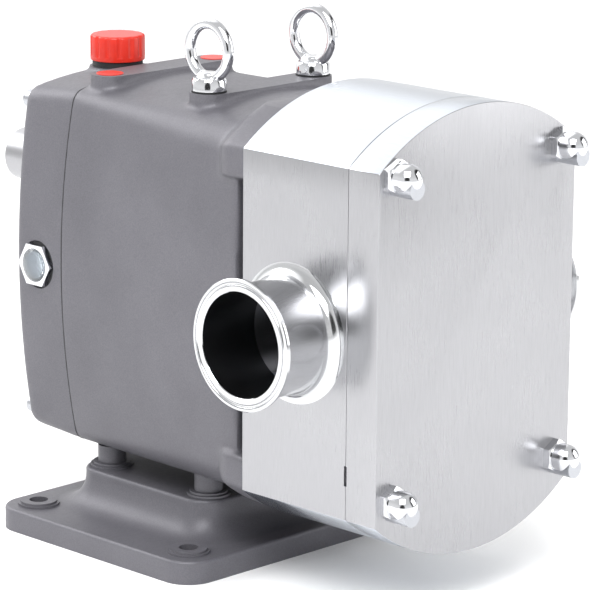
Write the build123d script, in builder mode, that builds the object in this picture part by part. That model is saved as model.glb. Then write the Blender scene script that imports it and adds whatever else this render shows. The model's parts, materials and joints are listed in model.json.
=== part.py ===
"""Rotary lobe pump: two timed tri-lobe rotors in a crowned rotor case, overhung from a gear case on a pedestal.

Millimetres. +Z up, -Y is the rotor (front cover) end, +Y the drive shaft end, the two ports face -X and +X.
The origin is the middle of the four foot bolts, on the mounting face.
"""
from build123d import *
from math import atan, cos, hypot, pi, radians, sin, sqrt, tan
import os

os.makedirs("parts", exist_ok=True)

# ---------------------------------------------------------------- driving dimensions
# shaft lines
axis_height = 195.0          # middle of the pump above the mounting face
shaft_spacing = 112.0
port_diameter_bore = 72.9    # 3 inch sanitary tube
port_line_y = -182.5

# stations along the shafts
case_rear = -134.5           # rear face of the rotor case
case_length = 99.5
front_cover_thickness = 28.0
case_gap = 11.5              # open air between rotor case and gear case
gear_case_length = 189.5
rear_cover_length = 55.0
shaft_extension = 88.5       # drive shaft beyond the rear cover

# rotor case and front cover outline
case_half_width = 99.0
case_shoulder = 121.0        # half height of the flat sides
case_crown = 156.5           # half height on the middle line
cover_edge_chamfer = 0.8
case_edge_chamfer = 0.5

# rotors and chamber
lobe_count = 3
rotor_clearance = 0.3        # taken off all round each rotor
chamber_clearance = 0.65     # rotor tip to chamber wall
chamber_depth = 88.0
rotor_end_clearance = 0.5

# gear case body
body_wall = 10.0
front_wall_thickness = 32.0
front_side, front_corner, front_shoulder, front_crown = 94.5, 91.0, 127.0, 139.5
front_corner_radius = 30.0
joint_side, joint_corner, joint_shoulder, joint_crown = 87.8, 73.5, 130.0, 139.5
joint_corner_radius = 12.0
rear_side, rear_corner, rear_shoulder, rear_crown = 86.5, 74.5, 127.5, 135.5
rear_corner_radius = 14.0
rear_edge_radius = 9.0
lug_inset = 1.0              # lugs stay inside the rotor case outline
lug_reach = 98.0             # half height where the lugs begin
lug_length = 19.0
lug_blend = 16.0
lug_tail_inset = 13.0        # the lugs slope back to this much inside the outline
cover_gasket_thickness = 0.8

# lifting and foot bosses
boss_pitch_x = 104.0
front_boss_setback = 71.0    # behind the front of the gear case
rear_boss_margin = 14.5      # in front of the rear cover joint
boss_diameter = 28.0
boss_rise = 143.5            # top of the bosses above the middle of the pump
boss_run_down = 15.0
strip_edge_radius = 1.5
plug_diameter = 20.0
plug_depth = 6.0
plug_proud = 0.6

# eye bolts
eye_thread = 12.0
eye_thread_length = 20.0
eye_collar_diameter = 24.5
eye_collar_height = 10.0
eye_ring_inner = 30.5
eye_ring_section = 8.2
eye_height = 52.0
eye_washer_thickness = 0.8

# pedestal
plate_length_x = 247.0
plate_length_y = 210.0
plate_thickness = 17.0
plate_corner_radius = 22.0
plate_edge_radius = 2.5
foot_pitch_x = 199.0
foot_pitch_y = 162.0
foot_hole = 14.0
foot_pad_diameter = 31.0
foot_pad_height = 1.6
foot_pad_step = 2.0
plateau_length_x = 146.0
plateau_length_y = 140.0
plateau_corner_radius = 20.0
plateau_cove_margin = 6.0    # straight wall above the cove
post_diameter = 21.0
post_ring_diameter = 32.0
post_ring_height = 1.6
post_seat_drop = 135.0       # spot faces under the gear case, below the middle of the pump
post_length = 12.8
foot_screw = 12.0
foot_screw_head = 18.0
foot_screw_head_height = 12.0
foot_screw_reach = 12.0

# ports
ferrule_diameter = 90.9
ferrule_edge = 2.9
ferrule_taper = 20.0         # degrees
port_tube_diameter = 80.0
port_face_x = 148.4
port_flare = 9.0
gasket_groove_diameter = 83.5
gasket_groove_radius = 1.6

# cover fasteners
stud_pitch_x = 167.2
stud_pitch_z = 223.2
stud_diameter = 14.0
nut_across_flats = 22.0
nut_hex_height = 12.0
nut_dome_diameter = 20.4
nut_height = 27.5
stud_nut_reach = 20.0
stud_lug_reach = 22.0
o_ring_section = 4.0
o_ring_inset = 9.0

# shafts
rotor_seat = 32.0
rotor_thread = 24.0
rotor_nut_diameter = 45.0
rotor_nut_length = 17.0
seal_seat = 40.0
bearing_seat = 45.0
collar_diameter = 56.0
collar_length = 8.0
gear_seat = 50.0
shaft_middle = 47.0
rear_seal_seat = 42.0
output_diameter = 40.0
output_shoulder = 1.5        # the seal seat stands this far out of the rear cover
shaft_end_chamfer = 1.5
output_key_width = 12.0
output_key_depth = 5.0
output_key_length = 70.0
output_key_margin = 6.0

# bearings, seals, gears
bearing_outer = 85.0
bearing_width = 19.0
bearing_pocket_wall = 10.0
inner_race = 57.0
outer_race = 73.0
roller_count = 13
roller_length = 14.0
oil_seal_outer = 62.0
oil_seal_width = 8.0
face_seal_outer = 60.0
seal_ring_outer = 54.0
seal_ring_length = 8.0
gear_module = 4.0
gear_width = 30.0
gear_backlash = 0.4
pressure_angle = 20.0
locknut_outer = 70.0
locknut_width = 10.0
gear_key_width = 14.0
gear_key_height = 9.0
gear_key_length = 25.0
rotor_key_width = 10.0
rotor_key_height = 8.0
rotor_key_length = 40.0

# filler, sight glass, drain
filler_x = -5.0
filler_from_rear = 26.0
filler_seat_rise = 139.0     # above the middle of the pump
filler_neck = 22.0
filler_cap_diameter = 40.5
filler_cap_height = 19.0
filler_cap_flutes = 14
filler_flute_depth = 1.0
filler_gasket_diameter = 37.5
filler_gasket_thickness = 4.6
filler_thread_length = 12.0
sight_from_rear = 27.5
sight_hex = 30.0
sight_hex_height = 5.0
sight_lens_diameter = 25.0
sight_lens_rise = 4.0
sight_gasket_diameter = 34.0
sight_gasket_thickness = 1.5
sight_thread = 24.0
sight_seat = 84.0            # spot face on the side of the rear cover
drain_thread = 16.0
drain_hex = 19.0
drain_drop = 122.0           # below the middle of the pump

# rear cover screws
cover_screw = 8.0
cover_screw_head = 13.0
cover_screw_head_height = 8.0
cover_screw_pitch_x = 126.0
cover_screw_pitch_z = 234.0
cover_screw_reach = 10.0

# fits
slip = 0.05                  # radial clearance of a turned fit
face_slip = 0.1              # axial clearance of parts that turn past each other
hole_slip = 0.5              # radial clearance of a bolt in its hole

# ---------------------------------------------------------------- derived places
upper_z = axis_height + shaft_spacing / 2
lower_z = axis_height - shaft_spacing / 2
case_front = case_rear - case_length
cover_front = case_front - front_cover_thickness
body_front = case_rear + case_gap
body_joint = body_front + gear_case_length
rear_face = body_joint + rear_cover_length
shaft_end = rear_face + shaft_extension
chamber_rear = case_front + chamber_depth
rotor_pitch_radius = shaft_spacing / 2
rotor_rolling_radius = rotor_pitch_radius / (2 * lobe_count)
rotor_tip_radius = rotor_pitch_radius + 2 * rotor_rolling_radius
chamber_radius = rotor_tip_radius + chamber_clearance
front_wall_rear = body_front + front_wall_thickness
front_bearing_front = front_wall_rear - bearing_width
rear_wall_front = rear_face - body_wall
rear_bearing_rear = rear_wall_front - oil_seal_width
rear_bearing_front = rear_bearing_rear - bearing_width
gear_front = front_wall_rear + collar_length
gear_rear = gear_front + gear_width
locknut_rear = gear_rear + locknut_width
filler_y = rear_face - filler_from_rear
sight_y = rear_face - sight_from_rear
front_boss_y = body_front + front_boss_setback
rear_boss_y = body_joint - rear_boss_margin
boss_top = axis_height + boss_rise
filler_seat_height = axis_height + filler_seat_rise
post_seat_height = axis_height - post_seat_drop
plateau_height = post_seat_height - post_length - 2 * post_ring_height
shaft_lines = {"upper": upper_z, "lower": lower_z}


# ---------------------------------------------------------------- shared shapes
def across(y, z=axis_height, x=0.0):
    """Plane square to the shafts at station y: local x is +X, local y is +Z, the normal points to the front."""
    return Plane(origin=(x, y, z), x_dir=(1, 0, 0), z_dir=(0, -1, 0))


def sideways(x, y, z):
    """Plane square to the ports: local x is +Y, local y is +Z, the normal is +X."""
    return Plane(origin=(x, y, z), x_dir=(0, 1, 0), z_dir=(1, 0, 0))


def save(piece, name):
    """Label a finished piece and write its STEP file."""
    piece.part.label = name
    export_step(piece.part, f"parts/{name}.step")


def case_section(y, inset=0.0):
    """Rotor case outline: flat sides, and an arc above and below. The inset keeps the arcs concentric."""
    rise = case_crown - case_shoulder
    radius = (case_half_width**2 + rise**2) / (2 * rise)
    side = case_half_width - inset
    crown = case_crown - inset
    shoulder = case_crown - radius + sqrt((radius - inset) ** 2 - side**2)
    with BuildSketch(across(y)) as section:
        with BuildLine():
            ThreePointArc((-side, shoulder), (0, crown), (side, shoulder))
            Line((side, shoulder), (side, -shoulder))
            ThreePointArc((side, -shoulder), (0, -crown), (-side, -shoulder))
            Line((-side, -shoulder), (-side, shoulder))
        make_face()
    return section.sketch


def body_section(y, side, corner, shoulder, crown, radius, wall=0.0):
    """Gear case section: four gentle arcs with rounded corners, set in by the wall for the cavity."""
    side, corner, shoulder, crown = side - wall, corner - wall, shoulder - wall, crown - wall
    with BuildSketch(across(y)) as section:
        with BuildLine():
            ThreePointArc((-corner, shoulder), (0, crown), (corner, shoulder))
            ThreePointArc((corner, shoulder), (side, 0), (corner, -shoulder))
            ThreePointArc((corner, -shoulder), (0, -crown), (-corner, -shoulder))
            ThreePointArc((-corner, -shoulder), (-side, 0), (-corner, shoulder))
        make_face()
        fillet(section.vertices(), max(radius - wall / 2, radius / 2))
    return section.sketch


def front_section(y, wall=0.0):
    return body_section(y, front_side, front_corner, front_shoulder, front_crown, front_corner_radius, wall)


def joint_section(y, wall=0.0):
    return body_section(y, joint_side, joint_corner, joint_shoulder, joint_crown, joint_corner_radius, wall)


def rear_section(y, wall=0.0):
    return body_section(y, rear_side, rear_corner, rear_shoulder, rear_crown, rear_corner_radius, wall)


def turned_ring(name, y_front, y_rear, z, outer, inner):
    """Plain ring on a shaft line, by diameters."""
    with BuildPart() as ring:
        with BuildSketch(across(y_rear, z)):
            Circle(outer / 2)
            Circle(inner / 2, mode=Mode.SUBTRACT)
        extrude(amount=y_rear - y_front)
    save(ring, name)


def foot_places():
    return GridLocations(foot_pitch_x, foot_pitch_y, 2, 2)


def boss_pair(y):
    """Two places across the gear case at station y."""
    return Locations((-boss_pitch_x / 2, y), (boss_pitch_x / 2, y))


def boss_places():
    return Locations(*[(x, y) for x in (-boss_pitch_x / 2, boss_pitch_x / 2) for y in (front_boss_y, rear_boss_y)])


def stud_places():
    return GridLocations(stud_pitch_x, stud_pitch_z, 2, 2)


def cover_screw_places():
    return GridLocations(cover_screw_pitch_x, cover_screw_pitch_z, 2, 2)


# ---------------------------------------------------------------- pedestal
def make_pedestal():
    """Cast foot plate with a raised middle, coved all round, drilled for foot bolts and post screws."""
    with BuildPart() as pedestal:
        with BuildSketch():
            RectangleRounded(plate_length_x, plate_length_y, plate_corner_radius)
        extrude(amount=plate_thickness)
        fillet(pedestal.edges().group_by(Axis.Z)[-1], plate_edge_radius)
        with BuildSketch(Plane.XY.offset(plate_thickness)):
            RectangleRounded(plateau_length_x, plateau_length_y, plateau_corner_radius)
        extrude(amount=plateau_height - plate_thickness)
        foot_line = pedestal.edges().filter_by_position(
            Axis.Z, plate_thickness - 0.01, plate_thickness + 0.01
        ).filter_by(lambda edge: abs(edge.center().X) < plateau_length_x / 2 + 1)
        foot_line = foot_line.filter_by(lambda edge: abs(edge.center().Y) < plateau_length_y / 2 + 1)
        cove = plateau_height - plate_thickness - plateau_cove_margin
        fillet(foot_line, cove)
        fillet(pedestal.edges().group_by(Axis.Z)[-1], plate_edge_radius)
        with BuildSketch(Plane.XY.offset(plate_thickness)):
            with foot_places():
                Circle(foot_pad_diameter / 2)
        extrude(amount=foot_pad_height)
        with BuildSketch(Plane.XY.offset(plate_thickness)):
            with foot_places():
                Circle(foot_pad_diameter / 2 - foot_pad_step)
        extrude(amount=2 * foot_pad_height)
        with BuildSketch(Plane.XY.offset(plateau_height)):
            with boss_places():
                Circle(post_ring_diameter / 2)
        extrude(amount=post_ring_height)
        with BuildSketch(Plane.XY.offset(plateau_height)):
            with boss_places():
                Circle(post_ring_diameter / 2 - foot_pad_step)
        extrude(amount=2 * post_ring_height)
        with Locations(Plane.XY.offset(plate_thickness + 2 * foot_pad_height)):
            with foot_places():
                Hole(foot_hole / 2)
        with BuildSketch():
            with boss_places():
                Circle(foot_screw / 2 + hole_slip)
        extrude(amount=plateau_height + 2 * post_ring_height, mode=Mode.SUBTRACT)
        with BuildSketch():
            with boss_places():
                Circle(foot_screw_head / 2 + 1)
        extrude(amount=foot_screw_head_height + 2, mode=Mode.SUBTRACT)
    save(pedestal, "pedestal")


def make_pedestal_posts():
    """Four spacer tubes between the pedestal rings and the spot faces of the gear case."""
    base = plateau_height + 2 * post_ring_height
    with BuildPart() as posts:
        with BuildSketch(Plane.XY.offset(base)):
            with boss_places():
                Circle(post_diameter / 2)
                Circle(foot_screw / 2 + hole_slip, mode=Mode.SUBTRACT)
        extrude(amount=post_seat_height - base)
    save(posts, "pedestal_posts")


def make_pedestal_screws():
    """Socket head screws, up through pedestal and posts into the gear case."""
    head_top = foot_screw_head_height + 2
    with BuildPart() as screws:
        with BuildSketch(Plane.XY.offset(2)):
            with boss_places():
                Circle(foot_screw_head / 2)
        extrude(amount=foot_screw_head_height)
        with BuildSketch(Plane.XY.offset(head_top)):
            with boss_places():
                Circle(foot_screw / 2 - slip)
        extrude(amount=post_seat_height + foot_screw_reach - head_top)
        with BuildSketch(Plane.XY.offset(2)):
            with boss_places():
                RegularPolygon(foot_screw_head / 3.2, 6)
        extrude(amount=foot_screw_head_height / 2, mode=Mode.SUBTRACT)
    save(screws, "pedestal_screws")


# ---------------------------------------------------------------- gear case
def make_gear_case():
    """Cast case: bulging walls, bearing wall in front, lugs to the rotor case, bosses on strips above."""
    lug_front = case_rear
    lug_rear = lug_front + lug_length
    with BuildPart() as case:
        loft([front_section(body_front), joint_section(body_joint)])
        # lugs that carry the rotor case, above and below only
        add(lug_block(lug_front, lug_rear))
        # transverse strips with round ends, flat on top
        with BuildSketch(Plane.XY.offset(boss_top - boss_run_down)):
            with Locations((0, front_boss_y), (0, rear_boss_y)):
                SlotCenterToCenter(boss_pitch_x, boss_diameter)
        extrude(amount=boss_run_down)
        fillet(case.edges().group_by(Axis.Z)[-1], strip_edge_radius)
        # cavity, with a thick wall left in front for the bearings
        loft([front_section(front_wall_rear, body_wall), joint_section(body_joint, body_wall)], mode=Mode.SUBTRACT)
        # inner bosses for eye bolts, blanking plugs and foot screws
        with BuildSketch(Plane.XY.offset(boss_top - eye_thread_length - 8)):
            with boss_places():
                Circle(boss_diameter / 2)
        extrude(amount=eye_thread_length)
        with BuildSketch(Plane.XY.offset(post_seat_height)):
            with boss_places():
                Circle(boss_diameter / 2)
        extrude(amount=foot_screw_reach + 4)
        with BuildSketch(across(body_joint)):
            with cover_screw_places():
                Circle(cover_screw + 2)
        extrude(amount=cover_screw_reach + 6)
        # spot faces for the posts
        with BuildSketch(Plane.XY.offset(post_seat_height)):
            with boss_places():
                Circle(boss_diameter / 2)
        extrude(amount=-boss_run_down, mode=Mode.SUBTRACT)
        with BuildSketch(Plane.XY.offset(post_seat_height)):
            with boss_places():
                Circle(foot_screw / 2)
        extrude(amount=foot_screw_reach, mode=Mode.SUBTRACT)
        # threaded holes for the eye bolts at the front, plug recesses at the back
        with BuildSketch(Plane.XY.offset(boss_top)):
            with boss_pair(front_boss_y):
                Circle(eye_thread / 2)
        extrude(amount=-eye_thread_length - 2, mode=Mode.SUBTRACT)
        with BuildSketch(Plane.XY.offset(boss_top)):
            with boss_pair(rear_boss_y):
                Circle(plug_diameter / 2)
        extrude(amount=-plug_depth, mode=Mode.SUBTRACT)
        # bearing pockets and seal pockets on both shaft lines
        for z in shaft_lines.values():
            with BuildSketch(across(front_wall_rear, z)):
                Circle(bearing_outer / 2)
            extrude(amount=bearing_width, mode=Mode.SUBTRACT)
            with BuildSketch(across(body_front, z)):
                Circle(oil_seal_outer / 2)
            extrude(amount=-oil_seal_width, mode=Mode.SUBTRACT)
            with BuildSketch(across(front_wall_rear, z)):
                Circle(oil_seal_outer / 2 - 3)
            extrude(amount=front_wall_thickness, mode=Mode.SUBTRACT)
        # stud holes in the lugs
        with BuildSketch(across(case_rear + stud_lug_reach)):
            with stud_places():
                Circle(stud_diameter / 2)
        extrude(amount=stud_lug_reach, mode=Mode.SUBTRACT)
        # threaded holes for the rear cover screws
        with BuildSketch(across(body_joint)):
            with cover_screw_places():
                Circle(cover_screw / 2)
        extrude(amount=cover_screw_reach + 2, mode=Mode.SUBTRACT)
    save(case, "gear_case")


def lug_block(lug_front, lug_rear):
    """The two lugs as one object: case outline above and below the open middle, sloping back into the body."""
    with BuildPart() as lugs:
        extrude(case_section(lug_rear + lug_blend, lug_inset), amount=lug_length + lug_blend, dir=(0, -1, 0))
        chamfer(lugs.edges().group_by(Axis.Y)[-1], lug_blend, lug_tail_inset - lug_inset)
        with BuildSketch(across(lug_rear + lug_blend)):
            Rectangle(4 * case_half_width, 2 * lug_reach)
        extrude(amount=lug_length + lug_blend, mode=Mode.SUBTRACT)
    return lugs.part


# ---------------------------------------------------------------- rear cover
def make_rear_cover():
    """Rear end cover with the rear bearing pockets, filler seat, sight glass seat and drain hole."""
    cover_front_y = body_joint + cover_gasket_thickness
    with BuildPart() as cover:
        round_steps = [radians(30 * step) for step in range(4)]
        rounded = [
            rear_section(rear_face - rear_edge_radius * (1 - sin(a)), rear_edge_radius * (1 - cos(a)))
            for a in round_steps
        ]
        loft([joint_section(cover_front_y)] + rounded, ruled=True)
        with BuildSketch(Plane.XY.offset(filler_seat_height)):
            with Locations((filler_x, filler_y)):
                Circle(filler_cap_diameter / 2 + 0.5)
        extrude(amount=-body_wall)
        loft(
            [joint_section(cover_front_y, body_wall), rear_section(rear_wall_front, body_wall)],
            mode=Mode.SUBTRACT,
        )
        for z in shaft_lines.values():
            with BuildSketch(across(rear_wall_front, z)):
                Circle(bearing_outer / 2 + bearing_pocket_wall)
            extrude(amount=rear_wall_front - rear_bearing_front)
        for z in shaft_lines.values():
            with BuildSketch(across(rear_bearing_rear, z)):
                Circle(bearing_outer / 2)
            extrude(amount=bearing_width, mode=Mode.SUBTRACT)
            with BuildSketch(across(rear_wall_front, z)):
                Circle(oil_seal_outer / 2 - 3)
            extrude(amount=rear_wall_front - rear_bearing_rear, mode=Mode.SUBTRACT)
        with BuildSketch(across(rear_face, upper_z)):
            Circle(oil_seal_outer / 2 - 3)
        extrude(amount=body_wall, mode=Mode.SUBTRACT)
        with BuildSketch(across(rear_face, upper_z)):
            Circle(oil_seal_outer / 2)
        extrude(amount=oil_seal_width, mode=Mode.SUBTRACT)
        # filler neck hole
        with BuildSketch(Plane.XY.offset(filler_seat_height)):
            with Locations((filler_x, filler_y)):
                Circle(filler_neck / 2)
        extrude(amount=-2 * body_wall, mode=Mode.SUBTRACT)
        # sight glass: flat seat and threaded hole
        with BuildSketch(sideways(-sight_seat, sight_y, axis_height)):
            Circle(sight_gasket_diameter / 2 + 1)
        extrude(amount=-body_wall, mode=Mode.SUBTRACT)
        with BuildSketch(sideways(-sight_seat, sight_y, axis_height)):
            Circle(sight_thread / 2)
        extrude(amount=2 * body_wall, mode=Mode.SUBTRACT)
        # drain hole low in the back, screw holes with pads round the rim
        with BuildSketch(across(rear_face, axis_height - drain_drop)):
            Circle(drain_thread / 2)
        extrude(amount=2 * body_wall, mode=Mode.SUBTRACT)
        with BuildSketch(across(rear_wall_front)):
            with cover_screw_places():
                Circle(cover_screw + 2)
        extrude(amount=rear_wall_front - cover_front_y)
        with BuildSketch(across(rear_face)):
            with cover_screw_places():
                Circle(cover_screw / 2 + hole_slip)
        extrude(amount=rear_cover_length, mode=Mode.SUBTRACT)
    save(cover, "rear_cover")


def make_cover_gasket():
    """Flat gasket between gear case and rear cover."""
    with BuildPart() as gasket:
        extrude(joint_section(body_joint + cover_gasket_thickness), amount=cover_gasket_thickness, dir=(0, -1, 0))
        extrude(
            joint_section(body_joint + cover_gasket_thickness, body_wall),
            amount=cover_gasket_thickness,
            dir=(0, -1, 0),
            mode=Mode.SUBTRACT,
        )
        with BuildSketch(across(body_joint + cover_gasket_thickness)):
            with cover_screw_places():
                Circle(cover_screw / 2 + hole_slip)
        extrude(amount=cover_gasket_thickness, mode=Mode.SUBTRACT)
    save(gasket, "cover_gasket")


def make_rear_cover_screws():
    """Cylinder head screws that hold the rear cover."""
    with BuildPart() as screws:
        with BuildSketch(across(rear_face + cover_screw_head_height)):
            with cover_screw_places():
                Circle(cover_screw_head / 2)
        extrude(amount=cover_screw_head_height)
        chamfer(screws.edges().group_by(Axis.Y)[-1], 0.8)
        with BuildSketch(across(rear_face)):
            with cover_screw_places():
                Circle(cover_screw / 2 - slip)
        extrude(amount=rear_face - body_joint + cover_screw_reach)
        with BuildSketch(across(rear_face + cover_screw_head_height)):
            with cover_screw_places():
                RegularPolygon(cover_screw_head / 3.6, 6)
        extrude(amount=cover_screw_head_height / 2, mode=Mode.SUBTRACT)
    save(screws, "rear_cover_screws")


# ---------------------------------------------------------------- rotor case and cover
def make_rotor_case():
    """Stainless case: two overlapping chamber bores, side ports, seal bores through the back wall."""
    with BuildPart() as case:
        extrude(case_section(case_rear), amount=case_length, dir=(0, -1, 0))
        chamfer(case.edges().group_by(Axis.Y)[-1], case_edge_chamfer)
        for z in shaft_lines.values():
            with BuildSketch(across(chamber_rear, z)):
                Circle(chamber_radius)
            extrude(amount=chamber_depth, mode=Mode.SUBTRACT)
            with BuildSketch(across(case_rear, z)):
                Circle(face_seal_outer / 2)
            extrude(amount=case_length - chamber_depth, mode=Mode.SUBTRACT)
        with BuildSketch(sideways(-case_half_width, port_line_y, axis_height)):
            Circle(port_diameter_bore / 2)
        extrude(amount=2 * case_half_width, mode=Mode.SUBTRACT)
        with BuildSketch(across(case_rear)):
            with stud_places():
                Circle(stud_diameter / 2 + hole_slip)
        extrude(amount=case_length, mode=Mode.SUBTRACT)
        with BuildSketch(across(case_front)):
            o_ring_track(o_ring_section / 2)
            o_ring_track(-o_ring_section / 2, Mode.SUBTRACT)
        extrude(amount=-o_ring_section, mode=Mode.SUBTRACT)
    save(case, "rotor_case")


def o_ring_track(side_step, mode=Mode.ADD):
    """Slot that runs round both chamber bores, wider or narrower than the middle of the O-ring by side_step."""
    SlotCenterToCenter(
        shaft_spacing, 2 * (chamber_radius + o_ring_inset + side_step), rotation=90, mode=mode
    )


def make_cover_o_ring():
    """Static O-ring in the groove round the chamber, drawn square and pressed level with the joint."""
    with BuildPart() as ring:
        with BuildSketch(across(case_front + o_ring_section - slip)):
            o_ring_track(o_ring_section / 2 - slip)
            o_ring_track(slip - o_ring_section / 2, Mode.SUBTRACT)
        extrude(amount=o_ring_section - slip)
    save(ring, "cover_o_ring")


def make_front_cover():
    """Plain thick cover plate with the case outline."""
    with BuildPart() as cover:
        extrude(case_section(case_front), amount=front_cover_thickness, dir=(0, -1, 0))
        chamfer(cover.edges().group_by(Axis.Y)[0], cover_edge_chamfer)
        with BuildSketch(across(case_front)):
            with stud_places():
                Circle(stud_diameter / 2 + hole_slip)
        extrude(amount=front_cover_thickness, mode=Mode.SUBTRACT)
    save(cover, "front_cover")


def make_case_studs():
    """Studs from the gear case lugs, through the rotor case and the cover, into the dome nuts."""
    with BuildPart() as studs:
        with BuildSketch(across(case_rear + stud_lug_reach - slip)):
            with stud_places():
                Circle(stud_diameter / 2 - slip)
        extrude(amount=case_rear + stud_lug_reach - slip - cover_front + stud_nut_reach)
    save(studs, "case_studs")


def make_dome_nuts():
    """Hexagon dome nuts, chamfered hexagon with a hemispherical cap."""
    dome_radius = nut_dome_diameter / 2
    dome_base = nut_height - dome_radius
    with BuildPart() as nuts:
        with BuildSketch(across(cover_front)):
            with stud_places():
                RegularPolygon(nut_across_flats / 2, 6, major_radius=False, rotation=30)
        extrude(amount=nut_hex_height)
        with BuildSketch(across(cover_front)):
            with stud_places():
                Circle(dome_radius)
        extrude(amount=dome_base)
        with Locations(across(cover_front - dome_base)):
            with stud_places():
                Sphere(dome_radius)
        with BuildSketch(across(cover_front)):
            with stud_places():
                Circle(stud_diameter / 2)
        extrude(amount=stud_nut_reach + 1, mode=Mode.SUBTRACT)
    save(nuts, "dome_nuts")


# ---------------------------------------------------------------- ports
def port_profile():
    """Half section of one clamp ferrule with its tube and flared foot, as radius against distance from the case."""
    reach = port_face_x - case_half_width
    bore = port_diameter_bore / 2
    tube = port_tube_diameter / 2
    rim = ferrule_diameter / 2
    slope = (rim - tube) * tan(radians(ferrule_taper))
    with BuildLine() as outline:
        Line((bore, 0), (tube + port_flare, 0))
        RadiusArc((tube + port_flare, 0), (tube, port_flare), port_flare)
        Polyline(
            (tube, port_flare),
            (tube, reach - ferrule_edge - slope),
            (rim, reach - ferrule_edge),
            (rim, reach),
            (bore, reach),
            (bore, 0),
        )
    make_face(outline.edges())


def make_port(name, side):
    """Clamp port welded to the rotor case, on side -1 (left) or +1 (right)."""
    foot = Plane(origin=(side * case_half_width, port_line_y, axis_height), x_dir=(0, 1, 0), z_dir=(0, 0, -side))
    groove = Plane(origin=(side * port_face_x, port_line_y, axis_height), x_dir=(0, 1, 0), z_dir=(0, 0, -side))
    port_axis = Axis((0, port_line_y, axis_height), (1, 0, 0))
    with BuildPart() as port:
        with BuildSketch(foot):
            port_profile()
        revolve(axis=port_axis)
        with BuildSketch(groove):
            with Locations((gasket_groove_diameter / 2, 0)):
                Circle(gasket_groove_radius)
        revolve(axis=port_axis, mode=Mode.SUBTRACT)
    save(port, name)


# ---------------------------------------------------------------- lifting gear and plugs
def make_eye_bolt(name, side):
    """Eye bolt with a round collar, its ring in the plane of the shafts."""
    x, y = side * boss_pitch_x / 2, front_boss_y
    seat = boss_top + eye_washer_thickness
    ring_radius = (eye_ring_inner + eye_ring_section) / 2
    ring_middle = seat + eye_height - eye_ring_inner / 2 - eye_ring_section
    with BuildPart() as bolt:
        with BuildSketch(Plane(origin=(x, y, seat))):
            Circle(eye_collar_diameter / 2)
        extrude(amount=eye_collar_height)
        fillet(bolt.edges().group_by(Axis.Z)[-1], 1.5)
        with BuildSketch(Plane(origin=(x, y, seat + eye_collar_height - 1))):
            Circle(eye_collar_diameter / 2 - 3)
        with BuildSketch(Plane(origin=(x, y, ring_middle - ring_radius + 1))):
            Circle(eye_ring_section / 2)
        loft()
        with Locations(Plane(origin=(x, y, ring_middle), z_dir=(1, 0, 0))):
            Torus(ring_radius, eye_ring_section / 2)
        with BuildSketch(Plane(origin=(x, y, seat))):
            Circle(eye_thread / 2 - slip)
        extrude(amount=-eye_thread_length)
    save(bolt, name)


def make_eye_bolt_washers():
    """Thin seals under the eye bolt collars."""
    with BuildPart() as washers:
        with BuildSketch(Plane.XY.offset(boss_top)):
            with boss_pair(front_boss_y):
                Circle(eye_collar_diameter / 2 + 0.3)
                Circle(eye_thread / 2 + hole_slip, mode=Mode.SUBTRACT)
        extrude(amount=eye_washer_thickness)
    save(washers, "eye_bolt_washers")


def make_blanking_plugs():
    """Push-in plugs that close the two unused lifting holes."""
    with BuildPart() as plugs:
        with BuildSketch(Plane.XY.offset(boss_top - plug_depth)):
            with boss_pair(rear_boss_y):
                Circle(plug_diameter / 2 - slip)
        extrude(amount=plug_depth + plug_proud)
        fillet(plugs.edges().group_by(Axis.Z)[-1], plug_proud / 2)
    save(plugs, "blanking_plugs")


# ---------------------------------------------------------------- filler, sight glass, drain
def make_filler_gasket():
    """Thick flat ring under the filler cap."""
    with BuildPart() as gasket:
        with BuildSketch(Plane(origin=(filler_x, filler_y, filler_seat_height))):
            Circle(filler_gasket_diameter / 2)
            Circle(filler_neck / 2, mode=Mode.SUBTRACT)
        extrude(amount=filler_gasket_thickness)
    save(gasket, "filler_gasket")


def make_filler_cap():
    """Fluted screw cap with its hollow threaded spigot."""
    base = filler_seat_height + filler_gasket_thickness + face_slip
    outer = filler_cap_diameter / 2
    with BuildPart() as cap:
        with BuildSketch(Plane(origin=(filler_x, filler_y, base))):
            Circle(outer)
        extrude(amount=filler_cap_height)
        chamfer(cap.edges().group_by(Axis.Z)[-1], 2.0)
        with BuildSketch(Plane(origin=(filler_x, filler_y, base + 3))):
            with PolarLocations(outer + 4 - filler_flute_depth, filler_cap_flutes):
                Circle(4)
        extrude(amount=filler_cap_height, mode=Mode.SUBTRACT)
        with BuildSketch(Plane(origin=(filler_x, filler_y, base))):
            Circle(filler_neck / 2 - slip)
        extrude(amount=-filler_thread_length - filler_gasket_thickness)
        with BuildSketch(Plane(origin=(filler_x, filler_y, base + 4))):
            Circle(filler_neck / 2 - 3)
        extrude(amount=-filler_thread_length - filler_gasket_thickness - 4, mode=Mode.SUBTRACT)
    save(cap, "filler_cap")


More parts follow.
